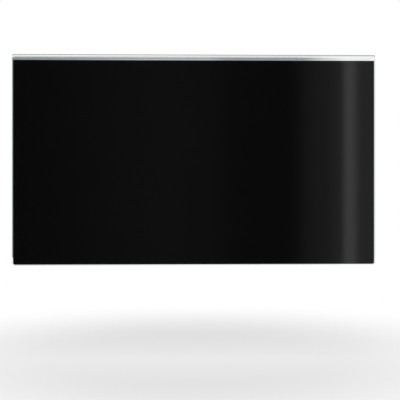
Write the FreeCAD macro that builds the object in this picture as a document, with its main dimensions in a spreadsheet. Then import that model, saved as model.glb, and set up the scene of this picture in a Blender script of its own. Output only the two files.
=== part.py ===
import FreeCAD, Part
import math
import os
import Sketcher

# A hanging privacy filter, in millimetres.
# One clear acrylic sheet is heat-bent along its top into a ledge, which the filter hangs by.
# A dark louvre film is bonded to the back of the sheet and stops short of its edges and its bend.
# The origin is the middle of the ledge's flat underside: +X right, +Y to the rear, +Z up.

# Driving dimensions: alias, value, meaning
DIMENSIONS = [
    ("panel_width", 540.0, "width of the sheet"),
    ("hang_drop", 312.0, "from the ledge's underside down to the sheet's bottom edge"),
    ("sheet_thickness", 2.0, "thickness of the acrylic"),
    ("ledge_depth", 36.0, "from the back of the panel to the rear edge of the ledge"),
    ("bend_radius", 4.0, "inside radius of the bend"),
    ("corner_radius", 4.5, "rounding of the sheet's four free corners"),
    ("edge_break", 0.3, "polished chamfer along the sheet's cut edges"),
    ("film_thickness", 0.5, "thickness of the louvre film"),
    ("film_bend_gap", 3.0, "from the end of the bend down to the film's top edge"),
    ("film_margin", 1.2, "clear rim of the sheet beside and below the film"),
]
SIZE = {alias: value for alias, value, meaning in DIMENSIONS}

# A sketch's own numbers for the points of a line or arc, and for its origin and its upright axis
START, END, CENTRE = 1, 2, 3
SKETCH_ORIGIN, VERTICAL_AXIS = -1, -2

OUT_OF_PAGE = FreeCAD.Vector(0, 0, 1)
LENGTH_TOLERANCE = 1e-6
SMOOTH_COSINE = 0.999
EMPTY_VOLUME = 1e-6


def make_sheet(doc):
    """Writes the driving dimensions into a spreadsheet, one row each, with an alias on the number."""
    sheet = doc.addObject("Spreadsheet::Sheet", "Dimensions")
    for row, (alias, value, meaning) in enumerate(DIMENSIONS, start=1):
        sheet.set(f"A{row}", alias)
        sheet.set(f"B{row}", str(value))
        sheet.set(f"C{row}", meaning)
        sheet.setAlias(f"B{row}", alias)
    doc.recompute()


def make_body(doc, label):
    """An empty body at the part's origin, whose label names its file."""
    body = doc.addObject("PartDesign::Body", label)
    body.Label = label
    body.Placement = FreeCAD.Placement()
    return body


def sketch_on(body, plane_role, name):
    """A new sketch on one of the body's own origin planes."""
    sketch = body.newObject("Sketcher::SketchObject", name)
    plane = next(f for f in body.Origin.OriginFeatures if f.Role == plane_role)
    sketch.AttachmentSupport = [(plane, "")]
    sketch.MapMode = "FlatFace"
    return sketch


def line(start, end):
    return Part.LineSegment(FreeCAD.Vector(*start, 0), FreeCAD.Vector(*end, 0))


def arc(centre, radius, start_deg, end_deg):
    circle = Part.Circle(FreeCAD.Vector(*centre, 0), OUT_OF_PAGE, radius)
    return Part.ArcOfCircle(circle, math.radians(start_deg), math.radians(end_deg))


def relate(sketch, kind, *elements):
    sketch.addConstraint(Sketcher.Constraint(kind, *elements))


def dimension(sketch, name, expression, kind, *elements):
    """Adds a dimension that starts at its drawn value, and binds it to an expression on the sheet."""
    index = sketch.addConstraint(Sketcher.Constraint(kind, *elements))
    sketch.renameConstraint(index, name)
    sketch.setExpression(f"Constraints.{name}", expression)


def sharp_edges(shape):
    """Names of the edges where two faces meet at an angle, which leaves out every tangent seam."""
    names = []
    for number, edge in enumerate(shape.Edges, start=1):
        middle = edge.valueAt((edge.FirstParameter + edge.LastParameter) / 2)
        normals = [
            face.normalAt(*face.Surface.parameter(middle))
            for face in shape.ancestorsOfType(edge, Part.Face)
        ]
        if normals[0].dot(normals[1]) < SMOOTH_COSINE:
            names.append(f"Edge{number}")
    return names


def edges_of_length(shape, length):
    """Names of the straight edges that have this length."""
    return [
        f"Edge{number}"
        for number, edge in enumerate(shape.Edges, start=1)
        if isinstance(edge.Curve, Part.Line) and abs(edge.Length - length) < LENGTH_TOLERANCE
    ]


def draw_bent_profile(sketch):
    """The sheet's section, seen from its side: the panel, the bend and the ledge, one thickness all along."""
    thickness = SIZE["sheet_thickness"]
    inner = SIZE["bend_radius"]
    outer = inner + thickness
    back = -(SIZE["ledge_depth"] + inner) / 2
    front = back - thickness
    rear = back + SIZE["ledge_depth"]
    bottom = -SIZE["hang_drop"]
    bend_centre = (back + inner, -inner)

    front_line = sketch.addGeometry(line((front, bottom), (front, -inner)))
    outer_arc = sketch.addGeometry(arc(bend_centre, outer, 90, 180))
    top_line = sketch.addGeometry(line((back + inner, thickness), (rear, thickness)))
    rear_line = sketch.addGeometry(line((rear, thickness), (rear, 0)))
    under_line = sketch.addGeometry(line((rear, 0), (back + inner, 0)))
    inner_arc = sketch.addGeometry(arc(bend_centre, inner, 90, 180))
    back_line = sketch.addGeometry(line((back, -inner), (back, bottom)))
    bottom_line = sketch.addGeometry(line((back, bottom), (front, bottom)))

    relate(sketch, "Tangent", front_line, END, outer_arc, END)
    relate(sketch, "Tangent", outer_arc, START, top_line, START)
    relate(sketch, "Coincident", top_line, END, rear_line, START)
    relate(sketch, "Coincident", rear_line, END, under_line, START)
    relate(sketch, "Tangent", under_line, END, inner_arc, START)
    relate(sketch, "Tangent", inner_arc, END, back_line, START)
    relate(sketch, "Coincident", back_line, END, bottom_line, START)
    relate(sketch, "Coincident", bottom_line, END, front_line, START)
    relate(sketch, "Coincident", outer_arc, CENTRE, inner_arc, CENTRE)
    relate(sketch, "Vertical", front_line)
    relate(sketch, "Horizontal", top_line)
    relate(sketch, "Vertical", rear_line)
    relate(sketch, "Horizontal", bottom_line)
    relate(sketch, "Symmetric", under_line, START, under_line, END, SKETCH_ORIGIN, START)

    dimension(sketch, "thickness", "Dimensions.sheet_thickness",
              "DistanceX", front_line, START, back_line, END, thickness)
    dimension(sketch, "inside_radius", "Dimensions.bend_radius", "Radius", inner_arc, inner)
    dimension(sketch, "ledge", "Dimensions.ledge_depth",
              "DistanceX", back_line, END, rear_line, END, SIZE["ledge_depth"])
    dimension(sketch, "drop", "Dimensions.hang_drop",
              "DistanceY", back_line, END, under_line, END, SIZE["hang_drop"])


def make_acrylic_panel(doc):
    """The clear sheet: its bent section run across the width, its corners rounded, its edges polished."""
    body = make_body(doc, "acrylic_panel")
    section = sketch_on(body, "YZ_Plane", "bent_section")
    draw_bent_profile(section)

    width = body.newObject("PartDesign::Pad", "sheet_width")
    width.Profile = section
    width.SideType = "Symmetric"
    width.setExpression("Length", "Dimensions.panel_width")
    doc.recompute()

    corners = body.newObject("PartDesign::Fillet", "free_corners")
    corners.Base = (width, edges_of_length(width.Shape, SIZE["sheet_thickness"]))
    corners.setExpression("Radius", "Dimensions.corner_radius")
    doc.recompute()

    edges = body.newObject("PartDesign::Chamfer", "polished_edges")
    edges.Base = (corners, sharp_edges(corners.Shape))
    edges.setExpression("Size", "Dimensions.edge_break")
    doc.recompute()
    return body


def draw_film_outline(sketch):
    """The film seen from the front: square at the top, and rounded below about the sheet's own centres."""
    half = SIZE["panel_width"] / 2 - SIZE["film_margin"]
    top = -SIZE["bend_radius"] - SIZE["film_bend_gap"]
    bottom = SIZE["film_margin"] - SIZE["hang_drop"]
    radius = SIZE["corner_radius"] - SIZE["film_margin"]

    top_line = sketch.addGeometry(line((-half, top), (half, top)))
    right_line = sketch.addGeometry(line((half, top), (half, bottom + radius)))
    right_arc = sketch.addGeometry(arc((half - radius, bottom + radius), radius, 270, 360))
    bottom_line = sketch.addGeometry(line((half - radius, bottom), (radius - half, bottom)))
    left_arc = sketch.addGeometry(arc((radius - half, bottom + radius), radius, 180, 270))
    left_line = sketch.addGeometry(line((-half, bottom + radius), (-half, top)))

    relate(sketch, "Coincident", top_line, END, right_line, START)
    relate(sketch, "Tangent", right_line, END, right_arc, END)
    relate(sketch, "Tangent", right_arc, START, bottom_line, START)
    relate(sketch, "Tangent", bottom_line, END, left_arc, END)
    relate(sketch, "Tangent", left_arc, START, left_line, START)
    relate(sketch, "Coincident", left_line, END, top_line, START)
    relate(sketch, "Vertical", right_line)
    relate(sketch, "Horizontal", bottom_line)
    relate(sketch, "Equal", right_arc, left_arc)
    relate(sketch, "Symmetric", top_line, START, top_line, END, VERTICAL_AXIS)

    dimension(sketch, "width", "Dimensions.panel_width - 2 * Dimensions.film_margin",
              "DistanceX", top_line, START, top_line, END, 2 * half)
    dimension(sketch, "top_drop", "Dimensions.bend_radius + Dimensions.film_bend_gap",
              "DistanceY", top_line, END, SKETCH_ORIGIN, START, -top)
    dimension(sketch, "bottom_drop", "Dimensions.hang_drop - Dimensions.film_margin",
              "DistanceY", bottom_line, START, SKETCH_ORIGIN, START, -bottom)
    dimension(sketch, "corner", "Dimensions.corner_radius - Dimensions.film_margin",
              "Radius", right_arc, radius)


def make_privacy_film(doc):
    """The louvre film: a thin plate whose front lies on the back of the sheet."""
    body = make_body(doc, "privacy_film")
    outline = sketch_on(body, "XZ_Plane", "film_outline")
    outline.setExpression("AttachmentOffset.Base.z",
                          "(Dimensions.ledge_depth + Dimensions.bend_radius) / 2")
    draw_film_outline(outline)

    plate = body.newObject("PartDesign::Pad", "film_plate")
    plate.Profile = outline
    plate.Reversed = True
    plate.setExpression("Length", "Dimensions.film_thickness")
    doc.recompute()
    return body


def check_document(doc, bodies):
    """Stops the script if any object failed, or if a sub-part isn't one valid solid."""
    for item in doc.Objects:
        if {"Invalid", "Error"} & set(item.State):
            raise RuntimeError(f"{item.Label} failed: {item.State}")
    for body in bodies:
        shape = body.Shape
        if shape.isNull() or not shape.isValid() or len(shape.Solids) != 1:
            raise RuntimeError(f"{body.Label} is not one valid solid")
        box = shape.BoundBox
        print(f"{body.Label}: {shape.Volume:.1f} mm3, X {box.XMin:.2f} to {box.XMax:.2f}, "
              f"Y {box.YMin:.2f} to {box.YMax:.2f}, Z {box.ZMin:.2f} to {box.ZMax:.2f}")
    shared = bodies[0].Shape.common(bodies[1].Shape).Volume
    if shared > EMPTY_VOLUME:
        raise RuntimeError(f"the film cuts {shared:.4f} mm3 into the sheet")


def main():
    doc = FreeCAD.newDocument("hanging_privacy_filter")
    make_sheet(doc)
    bodies = [make_acrylic_panel(doc), make_privacy_film(doc)]
    doc.recompute()
    check_document(doc, bodies)
    os.makedirs("parts", exist_ok=True)
    for body in bodies:
        body.Shape.exportStep(f"parts/{body.Label}.step")


main()
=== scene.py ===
# %% [markdown]
# A hanging privacy filter.
# The real thing is a clear acrylic sheet with a dark louvre film bonded to its back. Its top is bent back
# into a ledge, which it hangs by. This lesson loads the solids as a fixed frame, models both pieces again
# with finer bends and edges, and gives them the finish of the real ones.

# %% Load the frame
import math

import bmesh
import bpy
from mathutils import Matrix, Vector


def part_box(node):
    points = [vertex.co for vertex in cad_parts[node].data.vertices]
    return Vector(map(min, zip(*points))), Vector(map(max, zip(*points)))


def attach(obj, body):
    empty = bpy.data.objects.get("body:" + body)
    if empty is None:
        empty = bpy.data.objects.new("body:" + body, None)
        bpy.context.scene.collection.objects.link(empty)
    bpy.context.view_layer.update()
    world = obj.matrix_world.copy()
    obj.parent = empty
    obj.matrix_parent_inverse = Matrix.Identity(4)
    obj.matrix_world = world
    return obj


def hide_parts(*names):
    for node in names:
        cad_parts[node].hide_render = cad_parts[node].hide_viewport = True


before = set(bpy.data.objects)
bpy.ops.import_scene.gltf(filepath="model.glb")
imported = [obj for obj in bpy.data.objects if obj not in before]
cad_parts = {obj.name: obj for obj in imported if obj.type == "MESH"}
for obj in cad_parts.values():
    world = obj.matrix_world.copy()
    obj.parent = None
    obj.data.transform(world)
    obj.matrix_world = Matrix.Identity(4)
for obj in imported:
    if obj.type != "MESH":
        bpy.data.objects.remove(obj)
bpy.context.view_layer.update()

# %% [markdown]
# The sizes come from the solids' boxes, so the looks can't drift away from them. The film's front is the
# back of the sheet, and that gives the sheet's thickness. The origin is the middle of the ledge's flat
# underside, so the flat starts as far in front of the origin as it ends behind it, and that gives the
# bend's radius. Only the corners' radius and the broken edges don't show in a box, so they are written out.

# %% Read the sizes
panel_low, panel_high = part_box("acrylic_panel")
film_low, film_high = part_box("privacy_film")

BACK_Y = film_low.y
REAR_Y = panel_high.y
BOTTOM_Z = panel_low.z
SHEET_THICKNESS = BACK_Y - panel_low.y
BEND_RADIUS = -REAR_Y - BACK_Y
CORNER_RADIUS = 0.0045
EDGE_BREAK = 0.0003
print(f"sheet {SHEET_THICKNESS * 1000:.2f} mm thick, bend radius {BEND_RADIUS * 1000:.2f} mm inside")

# %% [markdown]
# The camera comes first, because everything is judged through it. The left end of the panel is about
# one percent taller in the picture than the right end, so the camera stands a little to the left. The
# panel's top and bottom edges lean by about the same amount, so the camera is level with the panel's
# middle, and the lens is shifted instead of tilted to leave room below.

# %% Set up the camera
IMAGE_SIDE_PX = 400
METRES_PER_PX = 0.0014871
CAMERA_DISTANCE = 1.1
CAMERA_YAW = math.radians(-1.13)
EYE_PX = Vector((200.0, 165.0))
PANEL_CENTRE_PX = Vector((194.45, 159.7))
SENSOR_MM = 36.0

front_centre = Vector((0.0, panel_low.y, (panel_low.z + panel_high.z) / 2))
eye_offset_px = EYE_PX - PANEL_CENTRE_PX
eye_target = front_centre + Vector((eye_offset_px.x, 0.0, -eye_offset_px.y)) * METRES_PER_PX
towards_camera = Vector((math.sin(CAMERA_YAW), -math.cos(CAMERA_YAW), 0.0))

bpy.ops.object.select_all(action="DESELECT")
bpy.ops.object.camera_add(location=eye_target + towards_camera * CAMERA_DISTANCE)
camera = bpy.context.object
camera.name = "photo_camera"
camera.rotation_euler = (-towards_camera).to_track_quat("-Z", "Y").to_euler()
camera.data.sensor_width = SENSOR_MM
camera.data.lens = SENSOR_MM * CAMERA_DISTANCE / (IMAGE_SIDE_PX * METRES_PER_PX)
camera.data.shift_y = (EYE_PX.y - IMAGE_SIDE_PX / 2) / IMAGE_SIDE_PX
bpy.context.scene.camera = camera
print(f"camera {CAMERA_DISTANCE} m away, lens {camera.data.lens:.1f} mm, shift {camera.data.shift_y:.3f}")

# %% [markdown]
# Both pieces start as an upright plane. It faces backwards, because the back of the sheet is the face that
# the film is bonded to. Helpers keep the steps short: one adds the plane at its size and place, one selects
# corners or edges by where they are, and one adds a modifier and applies it at once. Each piece gets two
# empty material slots straight away, so that Solidify can sort its new faces into them.

# %% Helpers for modelling
TOUCH = 1e-6
UPRIGHT = (-math.pi / 2, 0.0, 0.0)


def add_upright_plane(name, low_x, high_x, low_z, high_z, y):
    """An upright plane that faces +Y, with its size and place in its mesh and two material slots."""
    bpy.ops.object.select_all(action="DESELECT")
    centre = ((low_x + high_x) / 2, y, (low_z + high_z) / 2)
    bpy.ops.mesh.primitive_plane_add(size=1.0, location=centre, rotation=UPRIGHT)
    piece = bpy.context.object
    piece.name = name
    piece.data.name = name
    piece.scale = (high_x - low_x, high_z - low_z, 1.0)
    bpy.ops.object.transform_apply(location=True, rotation=True, scale=True)
    piece.data.materials.append(None)
    piece.data.materials.append(None)
    return piece


def select_corners(piece, wanted):
    """In edit mode, selects the vertices whose place passes the test, with the edges between them."""
    mesh = bmesh.from_edit_mesh(piece.data)
    for vertex in mesh.verts:
        vertex.select = bool(wanted(vertex.co))
    mesh.select_flush(True)
    mesh.select_flush(False)
    bmesh.update_edit_mesh(piece.data)
    return sum(vertex.select for vertex in mesh.verts)


def apply_modifier(piece, kind, **settings):
    """Adds one modifier with its settings and applies it."""
    modifier = piece.modifiers.new(kind.lower(), kind)
    for name, value in settings.items():
        setattr(modifier, name, value)
    bpy.ops.object.modifier_apply(modifier=modifier.name)


def near(a, b):
    """Whether two places are the same, to a thousandth of a millimetre."""
    return abs(a - b) < TOUCH


# %% [markdown]
# The acrylic sheet is one flat sheet that was heated along a line and folded over. It could be a swept
# profile, but folding it here as the maker does keeps the steps plain: the upright plane is the back of
# the panel, its top edge is spun a quarter turn to make the bend, and the new edge is pulled straight
# back for the ledge. A spin can turn faces round, so all of them are then made to face the inside of the
# fold. Rounding the four free corners while the sheet has no thickness yet keeps it easy.

# %% Fold the sheet
BEND_STEPS = 32
CORNER_STEPS = 10

sheet = add_upright_plane(
    "acrylic_sheet", panel_low.x, panel_high.x, BOTTOM_Z, -BEND_RADIUS, BACK_Y
)
bpy.ops.object.mode_set(mode="EDIT")
bpy.ops.mesh.select_mode(type="VERT")
select_corners(sheet, lambda place: near(place.z, -BEND_RADIUS))
bpy.ops.mesh.spin(
    steps=BEND_STEPS,
    angle=math.pi / 2,
    center=(0.0, BACK_Y + BEND_RADIUS, -BEND_RADIUS),
    axis=(1.0, 0.0, 0.0),
)
select_corners(sheet, lambda place: near(place.y, BACK_Y + BEND_RADIUS))
ledge_flat = REAR_Y - BACK_Y - BEND_RADIUS
bpy.ops.mesh.extrude_region_move(TRANSFORM_OT_translate={"value": (0.0, ledge_flat, 0.0)})
bpy.ops.mesh.select_all(action="SELECT")
bpy.ops.mesh.remove_doubles(threshold=TOUCH)
bpy.ops.mesh.normals_make_consistent(inside=True)
free_corners = select_corners(
    sheet, lambda place: near(place.z, BOTTOM_Z) or near(place.y, REAR_Y)
)
bpy.ops.mesh.bevel(offset=CORNER_RADIUS, segments=CORNER_STEPS, profile=0.5, affect="VERTICES")
bpy.ops.object.mode_set(mode="OBJECT")
print("rounded corners:", free_corners, "faces so far:", len(sheet.data.polygons))

# %% [markdown]
# Solidify gives the sheet its thickness on its front side, so the back stays where the film needs it, and
# it puts the new cut edges into the second material slot. The sheet could be extruded instead, but an even
# offset keeps one thickness all round the bend. A small bevel then breaks those edges, as flame polishing
# does. Weighted normals let the big flat faces keep a truly flat reflection beside the smooth bend.

# %% Thicken the sheet and polish its edges
SMOOTH_ANGLE = math.radians(32)
BEVEL_ANGLE = math.radians(50)
EDGE_STEPS = 3

apply_modifier(
    sheet, "SOLIDIFY", thickness=SHEET_THICKNESS, offset=-1.0, use_even_offset=True, material_offset_rim=1
)
apply_modifier(
    sheet, "BEVEL", width=EDGE_BREAK, segments=EDGE_STEPS, limit_method="ANGLE", angle_limit=BEVEL_ANGLE
)
bpy.ops.object.shade_smooth_by_angle(angle=SMOOTH_ANGLE)
apply_modifier(sheet, "WEIGHTED_NORMAL", weight=100, keep_sharp=True)
cut_faces = sum(face.material_index == 1 for face in sheet.data.polygons)
print("sheet faces:", len(sheet.data.polygons), "of which on cut edges:", cut_faces)

# %% [markdown]
# The film is a thin plate, square at the top and rounded at its two lower corners about the same centres
# as the sheet. A flattened cube could do, but the sheet's own steps give the film corners and edges of the
# same kind. Its adhesive wets the acrylic, so there is no air between them. The film's front goes a hair
# into the sheet to show that: light that enters the sheet meets the film before it meets any air. Solidify
# sorts that bonded front into the second material slot.

# %% Cut the film
BOND_DEPTH = 0.00003
FILM_EDGE = 0.00008
FILM_EDGE_STEPS = 2

film_margin = film_low.x - panel_low.x
film = add_upright_plane(
    "louvre_film", film_low.x, film_high.x, film_low.z, film_high.z, film_high.y
)
bpy.ops.object.mode_set(mode="EDIT")
bpy.ops.mesh.select_mode(type="VERT")
select_corners(film, lambda place: near(place.z, film_low.z))
bpy.ops.mesh.bevel(
    offset=CORNER_RADIUS - film_margin, segments=CORNER_STEPS, profile=0.5, affect="VERTICES"
)
bpy.ops.object.mode_set(mode="OBJECT")
film_thickness = film_high.y - film_low.y + BOND_DEPTH
apply_modifier(
    film, "SOLIDIFY", thickness=film_thickness, offset=-1.0, use_even_offset=True, material_offset=1
)
apply_modifier(
    film, "BEVEL", width=FILM_EDGE, segments=FILM_EDGE_STEPS, limit_method="ANGLE", angle_limit=BEVEL_ANGLE
)
bpy.ops.object.shade_smooth_by_angle(angle=SMOOTH_ANGLE)
apply_modifier(film, "WEIGHTED_NORMAL", weight=100, keep_sharp=True)
print(f"film {film_thickness * 1000:.2f} mm thick with its adhesive, {len(film.data.polygons)} faces")

# %% [markdown]
# Materials are made of nodes, and none of them uses a picture. Three short helpers do the repeated work:
# one starts a material and returns its shader, one adds a node with its settings and input values, and one
# starts a group of nodes that several materials can share.

# %% Helpers for materials


def new_finish(name):
    """A new material with nodes, its node tree and its main shader."""
    material = bpy.data.materials.new(name)
    material.use_nodes = True
    tree = material.node_tree
    shader = next(node for node in tree.nodes if node.type == "BSDF_PRINCIPLED")
    return material, tree, shader


def add_node(tree, kind, inputs=None, **settings):
    """A new node, with its settings and the values of its inputs."""
    node = tree.nodes.new(kind)
    for name, value in settings.items():
        setattr(node, name, value)
    for name, value in (inputs or {}).items():
        node.inputs[name].default_value = value
    return node


def new_group(name, inputs, outputs):
    """An empty node group with its sockets, and its input and output nodes."""
    group = bpy.data.node_groups.new(name, "ShaderNodeTree")
    for label, kind in inputs:
        group.interface.new_socket(label, in_out="INPUT", socket_type=kind)
    for label, kind in outputs:
        group.interface.new_socket(label, in_out="OUTPUT", socket_type=kind)
    return group, add_node(group, "NodeGroupInput"), add_node(group, "NodeGroupOutput")


# %% [markdown]
# Anything clear and glossy that is handled shows it: soft smudges where it was held, fine lines where it
# was wiped, and a few specks of dust. Most of the finishes here need that, so it is a group of nodes, built
# once. It could be painted as a picture, but noise stays sharp at any size. The smudges are a cloudy noise,
# the wiping lines are a noise stretched along one direction, and together they are the haze.

# %% Handling marks
WIPE_TURN = math.radians(24)
WIPE_STRETCH = (260.0, 260.0, 9.0)

marks_group, marks_in, marks_out = new_group(
    "handling_marks",
    inputs=(("Place", "NodeSocketVector"), ("Smudge Scale", "NodeSocketFloat")),
    outputs=(("Haze", "NodeSocketFloat"), ("Dust", "NodeSocketFloat")),
)
smudges = add_node(marks_group, "ShaderNodeTexNoise", {"Detail": 4.0, "Roughness": 0.55, "Distortion": 0.9})
marks_group.links.new(marks_in.outputs["Place"], smudges.inputs["Vector"])
marks_group.links.new(marks_in.outputs["Smudge Scale"], smudges.inputs["Scale"])
smudge_mask = add_node(
    marks_group, "ShaderNodeMapRange", {"From Min": 0.48, "From Max": 0.74, "To Max": 0.75}
)
marks_group.links.new(smudges.outputs["Fac"], smudge_mask.inputs["Value"])

wipe_place = add_node(
    marks_group, "ShaderNodeMapping", {"Rotation": (0.0, WIPE_TURN, 0.0), "Scale": WIPE_STRETCH}
)
marks_group.links.new(marks_in.outputs["Place"], wipe_place.inputs["Vector"])
wipes = add_node(marks_group, "ShaderNodeTexNoise", {"Scale": 1.0, "Detail": 2.0})
marks_group.links.new(wipe_place.outputs["Vector"], wipes.inputs["Vector"])
wipe_mask = add_node(
    marks_group, "ShaderNodeMapRange", {"From Min": 0.52, "From Max": 0.8, "To Max": 0.25}
)
marks_group.links.new(wipes.outputs["Fac"], wipe_mask.inputs["Value"])
haze = add_node(marks_group, "ShaderNodeMath", operation="ADD")
marks_group.links.new(smudge_mask.outputs["Result"], haze.inputs[0])
marks_group.links.new(wipe_mask.outputs["Result"], haze.inputs[1])
marks_group.links.new(haze.outputs["Value"], marks_out.inputs["Haze"])
print("smudges and wiping lines:", len(marks_group.nodes), "nodes")

# %% [markdown]
# Dust lies in single specks, far apart. Particles could be scattered on the sheet, but a Voronoi pattern puts
# specks on it with no more geometry. The one node does two jobs: its distance draws a round speck in each
# cell, and its colour is the cell's random number, which leaves most of the cells empty.

# %% Dust specks
DUST_CELLS_PER_METRE = 420.0
SPECK_SIZE = 0.16
EMPTY_CELLS = 0.985

specks = add_node(marks_group, "ShaderNodeTexVoronoi", {"Scale": DUST_CELLS_PER_METRE, "Randomness": 1.0})
marks_group.links.new(marks_in.outputs["Place"], specks.inputs["Vector"])
round_speck = add_node(marks_group, "ShaderNodeMath", {1: SPECK_SIZE}, operation="LESS_THAN")
marks_group.links.new(specks.outputs["Distance"], round_speck.inputs[0])
cell_number = add_node(marks_group, "ShaderNodeSeparateColor")
marks_group.links.new(specks.outputs["Color"], cell_number.inputs["Color"])
few_cells = add_node(marks_group, "ShaderNodeMath", {1: EMPTY_CELLS}, operation="GREATER_THAN")
marks_group.links.new(cell_number.outputs["Red"], few_cells.inputs[0])
dust = add_node(marks_group, "ShaderNodeMath", operation="MULTIPLY")
marks_group.links.new(round_speck.outputs["Value"], dust.inputs[0])
marks_group.links.new(few_cells.outputs["Value"], dust.inputs[1])
marks_group.links.new(dust.outputs["Value"], marks_out.inputs["Dust"])


def add_marks(tree, smudge_scale):
    """Places the handling marks in a material, on the piece's own coordinates."""
    place = add_node(tree, "ShaderNodeTexCoord")
    marks = add_node(tree, "ShaderNodeGroup", node_tree=marks_group)
    marks.inputs["Smudge Scale"].default_value = smudge_scale
    tree.links.new(place.outputs["Object"], marks.inputs["Place"])
    return place, marks


print("handling marks:", len(marks_group.nodes), "nodes")

# %% [markdown]
# Clear acrylic is a smooth transparent plastic with a refractive index of about 1.49 and a faint cool
# tint. A Glass shader could show it, but the main shader at full transmission does too, and then every
# finish here has the same kind of shader. Its roughness is what the marks change: smudges blur the sheet a
# little, and dust more.

# %% Clear acrylic
ACRYLIC_TINT = (0.93, 0.965, 0.97, 1.0)
ACRYLIC_IOR = 1.49
CLEAN_ACRYLIC = 0.012
SMUDGED_ACRYLIC = 0.045
DUST_BLUR = 0.2

acrylic, acrylic_tree, acrylic_shader = new_finish("polished_acrylic")
acrylic_shader.inputs["Base Color"].default_value = ACRYLIC_TINT
acrylic_shader.inputs["IOR"].default_value = ACRYLIC_IOR
acrylic_shader.inputs["Transmission Weight"].default_value = 1.0

acrylic_place, acrylic_marks = add_marks(acrylic_tree, smudge_scale=11.0)
gloss = add_node(acrylic_tree, "ShaderNodeMapRange", {"To Min": CLEAN_ACRYLIC, "To Max": SMUDGED_ACRYLIC})
acrylic_tree.links.new(acrylic_marks.outputs["Haze"], gloss.inputs["Value"])
dusty_gloss = add_node(acrylic_tree, "ShaderNodeMath", {1: DUST_BLUR}, operation="MULTIPLY_ADD")
acrylic_tree.links.new(acrylic_marks.outputs["Dust"], dusty_gloss.inputs[0])
acrylic_tree.links.new(gloss.outputs["Result"], dusty_gloss.inputs[2])
acrylic_tree.links.new(dusty_gloss.outputs["Value"], acrylic_shader.inputs["Roughness"])
print("acrylic's roughness:", CLEAN_ACRYLIC, "clean,", SMUDGED_ACRYLIC, "smudged")

# %% [markdown]
# The sheet was heated along its bend, which leaves a slight ripple. It could be modelled in the mesh, but it
# is at most two hundredths of a millimetre high, so a long soft noise bumps the surface instead. The ripple
# is full on the ledge and the bend, and fades to nothing a few centimetres below them.

# %% Ripple of the heated bend
RIPPLE_STRETCH = (22.0, 60.0, 60.0)
RIPPLE_REACH = 0.03
RIPPLE_HEIGHT = 0.00002

ripple_place = add_node(acrylic_tree, "ShaderNodeMapping", {"Scale": RIPPLE_STRETCH})
acrylic_tree.links.new(acrylic_place.outputs["Object"], ripple_place.inputs["Vector"])
ripple = add_node(acrylic_tree, "ShaderNodeTexNoise", {"Scale": 1.0, "Detail": 1.0})
acrylic_tree.links.new(ripple_place.outputs["Vector"], ripple.inputs["Vector"])
acrylic_split = add_node(acrylic_tree, "ShaderNodeSeparateXYZ")
acrylic_tree.links.new(acrylic_place.outputs["Object"], acrylic_split.inputs["Vector"])
near_bend = add_node(
    acrylic_tree,
    "ShaderNodeMapRange",
    {"From Min": -RIPPLE_REACH, "From Max": -BEND_RADIUS},
    interpolation_type="SMOOTHSTEP",
)
acrylic_tree.links.new(acrylic_split.outputs["Z"], near_bend.inputs["Value"])
ripple_height = add_node(acrylic_tree, "ShaderNodeMath", operation="MULTIPLY")
acrylic_tree.links.new(ripple.outputs["Fac"], ripple_height.inputs[0])
acrylic_tree.links.new(near_bend.outputs["Result"], ripple_height.inputs[1])
ripple_bump = add_node(acrylic_tree, "ShaderNodeBump", {"Strength": 1.0, "Distance": RIPPLE_HEIGHT})
acrylic_tree.links.new(ripple_height.outputs["Value"], ripple_bump.inputs["Height"])
acrylic_tree.links.new(ripple_bump.outputs["Normal"], acrylic_shader.inputs["Normal"])
print("acrylic:", len(acrylic_tree.nodes), "nodes")

# %% [markdown]
# The cut edges are sawn and then polished, so they are clear too, but duller and of a deeper tint than the
# faces, with fine lines left across the panel's thickness. They could share the sheet's finish, but one of
# their own shows that. A noise that is stretched along the thickness bumps the lines in.

# %% Cut edges of the acrylic
CUT_TINT = (0.78, 0.85, 0.86, 1.0)
CLEAN_CUT = 0.06
SMUDGED_CUT = 0.16
SAW_LINES = (1100.0, 40.0, 1100.0)
SAW_DEPTH = 0.00002

cut_edge, cut_tree, cut_shader = new_finish("acrylic_cut_edge")
cut_shader.inputs["Base Color"].default_value = CUT_TINT
cut_shader.inputs["IOR"].default_value = ACRYLIC_IOR
cut_shader.inputs["Transmission Weight"].default_value = 1.0
cut_place, cut_marks = add_marks(cut_tree, smudge_scale=60.0)
saw_place = add_node(cut_tree, "ShaderNodeMapping", {"Scale": SAW_LINES})
cut_tree.links.new(cut_place.outputs["Object"], saw_place.inputs["Vector"])
saw = add_node(cut_tree, "ShaderNodeTexNoise", {"Scale": 1.0, "Detail": 2.0})
cut_tree.links.new(saw_place.outputs["Vector"], saw.inputs["Vector"])
saw_bump = add_node(cut_tree, "ShaderNodeBump", {"Strength": 1.0, "Distance": SAW_DEPTH})
cut_tree.links.new(saw.outputs["Fac"], saw_bump.inputs["Height"])
cut_tree.links.new(saw_bump.outputs["Normal"], cut_shader.inputs["Normal"])
cut_gloss = add_node(cut_tree, "ShaderNodeMapRange", {"To Min": CLEAN_CUT, "To Max": SMUDGED_CUT})
cut_tree.links.new(cut_marks.outputs["Haze"], cut_gloss.inputs["Value"])
cut_tree.links.new(cut_gloss.outputs["Result"], cut_shader.inputs["Roughness"])
print("cut edges:", len(cut_tree.nodes), "nodes")

# %% [markdown]
# The film holds thousands of upright black louvres, thinner than a hair. From a step away they merge into
# black, with faint upright streaks where the film was shaved from its block. Each louvre could be a thin
# plate, but no picture would show so many so thin, and they lie inside the film. So the louvres and the
# streaks are a second group, which front and back share: a ping-pong of the sideways place draws the louvres
# at their pitch, and a noise that hardly changes upwards draws the streaks.

# %% Louvres and streaks
LOUVRE_PITCH = 0.0001
STREAK_STRETCH = (240.0, 1.0, 1.6)

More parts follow.
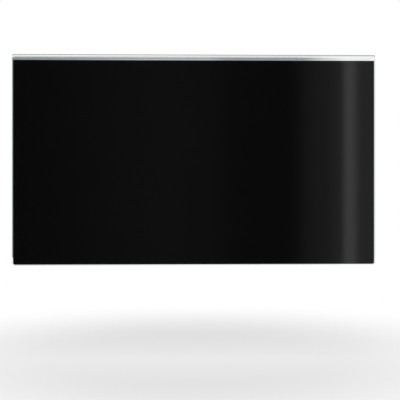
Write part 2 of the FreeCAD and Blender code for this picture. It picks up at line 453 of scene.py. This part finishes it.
louvre_group, louvre_in, louvre_out = new_group(
    "louvre_lines",
    inputs=(("Place", "NodeSocketVector"),),
    outputs=(("Louvres", "NodeSocketFloat"), ("Streaks", "NodeSocketFloat")),
)
sideways_place = add_node(louvre_group, "ShaderNodeSeparateXYZ")
louvre_group.links.new(louvre_in.outputs["Place"], sideways_place.inputs["Vector"])
half_pitches = add_node(louvre_group, "ShaderNodeMath", {1: 2 / LOUVRE_PITCH}, operation="MULTIPLY")
louvre_group.links.new(sideways_place.outputs["X"], half_pitches.inputs[0])
louvres = add_node(louvre_group, "ShaderNodeMath", {1: 1.0}, operation="PINGPONG")
louvre_group.links.new(half_pitches.outputs["Value"], louvres.inputs[0])
louvre_group.links.new(louvres.outputs["Value"], louvre_out.inputs["Louvres"])
streak_place = add_node(louvre_group, "ShaderNodeMapping", {"Scale": STREAK_STRETCH})
louvre_group.links.new(louvre_in.outputs["Place"], streak_place.inputs["Vector"])
streaks = add_node(louvre_group, "ShaderNodeTexNoise", {"Scale": 1.0, "Detail": 3.0})
louvre_group.links.new(streak_place.outputs["Vector"], streaks.inputs["Vector"])
louvre_group.links.new(streaks.outputs["Fac"], louvre_out.inputs["Streaks"])
print("louvres:", len(louvre_group.nodes), "nodes")

# %% [markdown]
# Both faces of the film mix two blacks: the louvres choose between the dark louvre and the clear plastic
# between two louvres, and the streaks shift the result a little. A function does it for both faces.

# %% Louvre colours


def add_louvre_colour(tree, shader, louvre_black, gap_black, streak_black):
    """Feeds a shader's colour from the louvres and the streaks, and returns the group's node."""
    place = add_node(tree, "ShaderNodeTexCoord")
    lines = add_node(tree, "ShaderNodeGroup", node_tree=louvre_group)
    tree.links.new(place.outputs["Object"], lines.inputs["Place"])
    blacks = add_node(tree, "ShaderNodeMix", data_type="RGBA")
    blacks.inputs["A"].default_value = (*louvre_black, 1.0)
    blacks.inputs["B"].default_value = (*gap_black, 1.0)
    tree.links.new(lines.outputs["Louvres"], blacks.inputs["Factor"])
    streaked = add_node(tree, "ShaderNodeMix", data_type="RGBA")
    streaked.inputs["B"].default_value = (*streak_black, 1.0)
    tree.links.new(lines.outputs["Streaks"], streaked.inputs["Factor"])
    tree.links.new(blacks.outputs["Result"], streaked.inputs["A"])
    tree.links.new(streaked.outputs["Result"], shader.inputs["Base Color"])
    return lines


# %% [markdown]
# The front of the film is bonded to the acrylic. With no air between them it has no gloss of its own, so
# its specular level is zero, and the only reflection comes from the acrylic in front of it.

# %% Bonded front of the film
film_front, front_tree, front_shader = new_finish("film_bonded_front")
front_shader.inputs["Specular IOR Level"].default_value = 0.0
front_shader.inputs["Roughness"].default_value = 0.8
add_louvre_colour(
    front_tree,
    front_shader,
    louvre_black=(0.0030, 0.0030, 0.0031),
    gap_black=(0.0044, 0.0044, 0.0045),
    streak_black=(0.0047, 0.0047, 0.0047),
)
print("film front:", len(front_tree.nodes), "nodes")

# %% [markdown]
# The back of the film is bare plastic with a satin surface, so handling marks change its gloss, and the
# shaving streaks can be felt as a very shallow bump. It could share the front's finish, but bare plastic has
# a gloss of its own, and its blacks are a little paler.

# %% Satin back of the film
CLEAN_SATIN = 0.3
SMUDGED_SATIN = 0.5
STREAK_DEPTH = 0.000015

film_back, back_tree, back_shader = new_finish("film_satin_back")
back_shader.inputs["Specular IOR Level"].default_value = 0.4
back_lines = add_louvre_colour(
    back_tree,
    back_shader,
    louvre_black=(0.004, 0.004, 0.005),
    gap_black=(0.007, 0.007, 0.008),
    streak_black=(0.022, 0.022, 0.024),
)
back_marks = add_marks(back_tree, smudge_scale=14.0)[1]
back_gloss = add_node(back_tree, "ShaderNodeMapRange", {"To Min": CLEAN_SATIN, "To Max": SMUDGED_SATIN})
back_tree.links.new(back_marks.outputs["Haze"], back_gloss.inputs["Value"])
back_tree.links.new(back_gloss.outputs["Result"], back_shader.inputs["Roughness"])
back_bump = add_node(back_tree, "ShaderNodeBump", {"Strength": 1.0, "Distance": STREAK_DEPTH})
back_tree.links.new(back_lines.outputs["Streaks"], back_bump.inputs["Height"])
back_tree.links.new(back_bump.outputs["Normal"], back_shader.inputs["Normal"])
print("film back:", len(back_tree.nodes), "nodes")

# %% [markdown]
# The finishes go into the slots that Solidify sorted the faces into. Then each piece takes the place of
# its solid and rides on the part's one body.

# %% Give the finishes and tell the frame
PIECES = (
    (sheet, "acrylic_panel", "clear_acrylic", (acrylic, cut_edge)),
    (film, "privacy_film", "louvre_film", (film_back, film_front)),
)
for piece, node, slot, finishes in PIECES:
    for index, finish in enumerate(finishes):
        piece.data.materials[index] = finish
    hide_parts(node)
    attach(piece, "root")
    print(piece.name, "stands for", node, "with", [finish.name for finish in finishes])

# %% [markdown]
# The stage is a plain pale floor, below the hanging panel. It ends a short way in front of the panel, so that
# the camera doesn't find it mirrored there. To the camera it fades to white away from the panel, so that no
# edge of it shows and only the panel's soft shadow is left.

# %% Floor
FLOOR_DROP = 0.139
FLOOR_FRONT_Y = -0.8
FLOOR_BACK_Y = 1.2
FLOOR_HALF_WIDTH = 1.2

bpy.ops.object.select_all(action="DESELECT")
bpy.ops.mesh.primitive_plane_add(
    size=1.0, location=(0.0, (FLOOR_FRONT_Y + FLOOR_BACK_Y) / 2, BOTTOM_Z - FLOOR_DROP)
)
floor = bpy.context.object
floor.name = "floor"
floor.scale = (2 * FLOOR_HALF_WIDTH, FLOOR_BACK_Y - FLOOR_FRONT_Y, 1.0)
bpy.ops.object.transform_apply(location=True, rotation=True, scale=True)
print("floor at z =", round(BOTTOM_Z - FLOOR_DROP, 4))

# %% [markdown]
# The fade is measured from the point below the origin, over an oval that is wider than deep. Light Path
# keeps the white to what the camera sees, beside the panel or through the clear sheet, so it adds no light
# to the panel's own colours. More light on the floor could turn it white as well, but the panel would get
# that light too.

# %% Pale floor
PALE = (0.86, 0.86, 0.86, 1.0)
WHITE = (1.0, 1.0, 1.0, 1.0)
FADE_OVAL = (1.6, 2.4, 0.0)
FADE_START = 0.3
FADE_END = 1.0
LEAST_WHITE = 0.4

floor_finish, floor_tree, floor_shader = new_finish("pale_floor")
floor_shader.inputs["Base Color"].default_value = PALE
floor_shader.inputs["Roughness"].default_value = 0.9
floor_shader.inputs["Specular IOR Level"].default_value = 0.0
floor.data.materials.append(floor_finish)

floor_place = add_node(floor_tree, "ShaderNodeTexCoord")
oval = add_node(floor_tree, "ShaderNodeMapping", {"Scale": FADE_OVAL})
floor_tree.links.new(floor_place.outputs["Object"], oval.inputs["Vector"])
away = add_node(floor_tree, "ShaderNodeVectorMath", operation="LENGTH")
floor_tree.links.new(oval.outputs["Vector"], away.inputs[0])
white_share = add_node(
    floor_tree,
    "ShaderNodeMapRange",
    {"From Min": FADE_START, "From Max": FADE_END, "To Min": LEAST_WHITE},
    interpolation_type="SMOOTHSTEP",
)
floor_tree.links.new(away.outputs["Value"], white_share.inputs["Value"])

floor_rays = add_node(floor_tree, "ShaderNodeLightPath")
seen_ray = add_node(floor_tree, "ShaderNodeMath", operation="ADD")
floor_tree.links.new(floor_rays.outputs["Is Camera Ray"], seen_ray.inputs[0])
floor_tree.links.new(floor_rays.outputs["Is Transmission Ray"], seen_ray.inputs[1])
seen_white = add_node(floor_tree, "ShaderNodeMath", operation="MULTIPLY")
floor_tree.links.new(white_share.outputs["Result"], seen_white.inputs[0])
floor_tree.links.new(seen_ray.outputs["Value"], seen_white.inputs[1])
white_light = add_node(floor_tree, "ShaderNodeEmission", {"Color": WHITE})
print("floor is all white from", FADE_END / FADE_OVAL[0], "m sideways of the origin")

# %% [markdown]
# The glossy sheet mirrors the floor in front of it. To reflections the floor is a plain light: pale near the
# panel, and darker towards the floor's front edge, so that it melts into the dark studio and its edge draws
# no line in the panel. A plain light also keeps grain out of reflections as faint as these.

# %% What reflections see of the floor
MIRROR_FADE_Y = -0.1
MIRROR_PALE = 0.65
MIRROR_DARK = 0.05

floor_split = add_node(floor_tree, "ShaderNodeSeparateXYZ")
floor_tree.links.new(floor_place.outputs["Object"], floor_split.inputs["Vector"])
mirror_level = add_node(
    floor_tree,
    "ShaderNodeMapRange",
    {"From Min": MIRROR_FADE_Y, "From Max": FLOOR_FRONT_Y, "To Min": MIRROR_PALE, "To Max": MIRROR_DARK},
    interpolation_type="SMOOTHSTEP",
)
floor_tree.links.new(floor_split.outputs["Y"], mirror_level.inputs["Value"])
mirror_light = add_node(floor_tree, "ShaderNodeEmission")
floor_tree.links.new(mirror_level.outputs["Result"], mirror_light.inputs["Color"])


def lay_light_over(shading, light, share):
    """Lays a plain light over the floor's shading, by a share."""
    mix = add_node(floor_tree, "ShaderNodeMixShader")
    floor_tree.links.new(share, mix.inputs["Fac"])
    floor_tree.links.new(shading, mix.inputs[1])
    floor_tree.links.new(light.outputs["Emission"], mix.inputs[2])
    return mix.outputs["Shader"]


mirrored_floor = lay_light_over(
    floor_shader.outputs["BSDF"], mirror_light, floor_rays.outputs["Is Reflection Ray"]
)
seen_floor = lay_light_over(mirrored_floor, white_light, seen_white.outputs["Value"])
floor_out = next(node for node in floor_tree.nodes if node.type == "OUTPUT_MATERIAL")
floor_tree.links.new(seen_floor, floor_out.inputs["Surface"])
print("floor:", len(floor_tree.nodes), "nodes")

# %% [markdown]
# The world is the studio. What a glossy or clear surface shows depends on the direction. Lamps and cards
# could be set up all round, but a studio that is drawn by direction has each light just where a reflection
# needs it: so far sideways, so high, and in front or behind. The direction's sideways slope is its x over
# its depth, and its height slope is its z over its depth.

# %% Directions in the studio
LEAST_DEPTH = 0.05

world = bpy.data.worlds.new("studio")
bpy.context.scene.world = world
world.use_nodes = True
studio = world.node_tree
studio.nodes.clear()
direction = add_node(studio, "ShaderNodeTexCoord")
parts = add_node(studio, "ShaderNodeSeparateXYZ")
studio.links.new(direction.outputs["Generated"], parts.inputs["Vector"])
size_of_y = add_node(studio, "ShaderNodeMath", operation="ABSOLUTE")
studio.links.new(parts.outputs["Y"], size_of_y.inputs[0])
depth = add_node(studio, "ShaderNodeMath", {1: LEAST_DEPTH}, operation="MAXIMUM")
studio.links.new(size_of_y.outputs["Value"], depth.inputs[0])


def slope_of(axis):
    """One part of the direction over its depth."""
    slope = add_node(studio, "ShaderNodeMath", operation="DIVIDE")
    studio.links.new(parts.outputs[axis], slope.inputs[0])
    studio.links.new(depth.outputs["Value"], slope.inputs[1])
    return slope.outputs["Value"]


sideways_slope = slope_of("X")
height_slope = slope_of("Z")
print("directions:", len(studio.nodes), "nodes")

# %% [markdown]
# Three helpers write the lights down. One names a neutral light by its level, one draws a light that changes
# sideways from stop to stop, and one goes smoothly from one light to another.

# %% Helpers for the studio's lights


def grey(level):
    """A neutral light of this level."""
    return (level, level, level)


def light_ramp(slope, stops):
    """Light by sideways slope: each stop is a slope and the colour of the light there."""
    low = stops[0][0]
    high = stops[-1][0]
    spread = add_node(studio, "ShaderNodeMapRange", {"From Min": low, "From Max": high})
    studio.links.new(slope, spread.inputs["Value"])
    ramp = add_node(studio, "ShaderNodeValToRGB")
    ramp.color_ramp.interpolation = "EASE"
    elements = ramp.color_ramp.elements
    while len(elements) < len(stops):
        elements.new(0.5)
    for element, (place, colour) in zip(elements, stops):
        element.position = (place - low) / (high - low)
        element.color = (*colour, 1.0)
    studio.links.new(spread.outputs["Result"], ramp.inputs["Fac"])
    return ramp.outputs["Color"]


def blend_by(value, edge, first, second):
    """Goes smoothly from the first light to the second as the value goes from the edge's low to its high."""
    low, high = edge
    share = add_node(
        studio, "ShaderNodeMapRange", {"From Min": low, "From Max": high}, interpolation_type="SMOOTHSTEP"
    )
    studio.links.new(value, share.inputs["Value"])
    mix = add_node(studio, "ShaderNodeMix", data_type="RGBA")
    studio.links.new(share.outputs["Result"], mix.inputs["Factor"])
    for light, name in ((first, "A"), (second, "B")):
        if isinstance(light, tuple):
            mix.inputs[name].default_value = (*light, 1.0)
        else:
            studio.links.new(light, mix.inputs[name])
    return mix.outputs["Result"]


# %% [markdown]
# In front of the panel the studio is dark, with a dim light straight ahead and a tall strip light to the
# right, which shows as the pale streak near the panel's right end.

# %% Light in front of the panel
FRONT_STOPS = (
    (-0.24, grey(0.03)),
    (-0.02, grey(0.08)),
    (0.02, grey(0.075)),
    (0.08, grey(0.04)),
    (0.135, grey(0.033)),
    (0.19, grey(0.21)),
    (0.208, grey(0.33)),
    (0.2225, grey(1.06)),
    (0.24, grey(0.42)),
    (0.30, grey(0.2)),
    (0.50, grey(0.05)),
)
front_light = light_ramp(sideways_slope, FRONT_STOPS)
print("front light:", len(FRONT_STOPS), "stops")

# %% [markdown]
# Behind the panel the studio is a cool grey, paler in the middle, and white on the right and far to the left.
# That is what the clear band along the top shows. Low down it is dim, and the ledge's underside mirrors that:
# it draws the dark line in the band.

# %% Light behind the panel
SOFT_WHITE = (0.97, 0.94, 0.90)
PALE_WHITE = (0.71, 0.70, 0.69)
PALE_GREY = (0.50, 0.50, 0.53)
COOL_GREY = (0.30, 0.33, 0.34)
COOL_SHADE = (0.20, 0.225, 0.235)
DIM = grey(0.17)

BACK_STOPS = (
    (-0.60, SOFT_WHITE),
    (-0.24, COOL_SHADE),
    (-0.02, PALE_GREY),
    (0.03, PALE_GREY),
    (0.06, COOL_GREY),
    (0.155, COOL_GREY),
    (0.19, PALE_WHITE),
    (0.222, SOFT_WHITE),
    (0.50, SOFT_WHITE),
)
LOW_BACK_STOPS = (
    (-0.60, SOFT_WHITE),
    (-0.24, DIM),
    (0.155, DIM),
    (0.222, SOFT_WHITE),
    (0.50, SOFT_WHITE),
)
back_light = light_ramp(sideways_slope, BACK_STOPS)
low_back_light = light_ramp(sideways_slope, LOW_BACK_STOPS)
print("back light:", len(BACK_STOPS), "stops, and", len(LOW_BACK_STOPS), "low down")

# %% [markdown]
# Higher up the walls are white all round, and the ceiling is half as bright. Two of the lights are for one
# kind of ray only. From behind, the clear sheet shows the white backdrop: Is Transmission Ray swaps the dark
# front for it, and reflections stay dark. Is Reflection Ray keeps the dim low part behind the panel to
# reflections.

# %% Studio lights by direction
RAY_NO_YES = (0.0, 1.0)
LOW_BACK_EDGE = (-0.145, -0.125)
FRONT_TO_BACK = (-0.1, 0.1)
WALL_EDGE = (0.13, 0.27)
CEILING_EDGE = (1.2, 3.0)
WALL_LIGHT = grey(1.0)
CEILING_LIGHT = grey(0.5)

studio_rays = add_node(studio, "ShaderNodeLightPath")
front_seen = blend_by(studio_rays.outputs["Is Transmission Ray"], RAY_NO_YES, front_light, WALL_LIGHT)
back_mirrored = blend_by(height_slope, LOW_BACK_EDGE, low_back_light, back_light)
back_seen = blend_by(studio_rays.outputs["Is Reflection Ray"], RAY_NO_YES, back_light, back_mirrored)
low_light = blend_by(parts.outputs["Y"], FRONT_TO_BACK, front_seen, back_seen)
with_walls = blend_by(height_slope, WALL_EDGE, low_light, WALL_LIGHT)
studio_light = blend_by(height_slope, CEILING_EDGE, with_walls, CEILING_LIGHT)
print("walls start at height slope", WALL_EDGE[0], "and the ceiling at", CEILING_EDGE[0])

# %% [markdown]
# The camera itself sees a white backdrop on every side. That white is for its own rays only, so it adds no
# light to the panel.

# %% White backdrop
room = add_node(studio, "ShaderNodeBackground")
studio.links.new(studio_light, room.inputs["Color"])
backdrop = add_node(studio, "ShaderNodeBackground", {"Color": WHITE})
seen = add_node(studio, "ShaderNodeMixShader")
studio.links.new(studio_rays.outputs["Is Camera Ray"], seen.inputs["Fac"])
studio.links.new(room.outputs["Background"], seen.inputs[1])
studio.links.new(backdrop.outputs["Background"], seen.inputs[2])
studio_out = add_node(studio, "ShaderNodeOutputWorld")
studio.links.new(seen.outputs["Shader"], studio_out.inputs["Surface"])
print("studio:", len(studio.nodes), "nodes")

# %% [markdown]
# One large softbox overhead gives the floor its soft shadow and the bend a thin highlight. A small lamp
# could light the panel too, but its shadow would have hard edges.

# %% Overhead softbox
SOFTBOX_PLACE = Vector((-0.1, -0.15, 1.1))
SOFTBOX_AIM = Vector((0.0, 0.0, BOTTOM_Z))
SOFTBOX_WIDTH = 1.4
SOFTBOX_DEPTH = 1.0
SOFTBOX_WATTS = 2.0

bpy.ops.object.select_all(action="DESELECT")
bpy.ops.object.light_add(type="AREA", location=SOFTBOX_PLACE)
softbox = bpy.context.object
softbox.name = "overhead_softbox"
softbox.data.shape = "RECTANGLE"
softbox.data.size = SOFTBOX_WIDTH
softbox.data.size_y = SOFTBOX_DEPTH
softbox.data.energy = SOFTBOX_WATTS
softbox.rotation_euler = (SOFTBOX_AIM - SOFTBOX_PLACE).to_track_quat("-Z", "Y").to_euler()
print("softbox", softbox.data.energy, "W")

# %% [markdown]
# The picture shows colours as they are, with no tone curve over them.

# %% Picture settings
bpy.context.scene.view_settings.view_transform = "Standard"
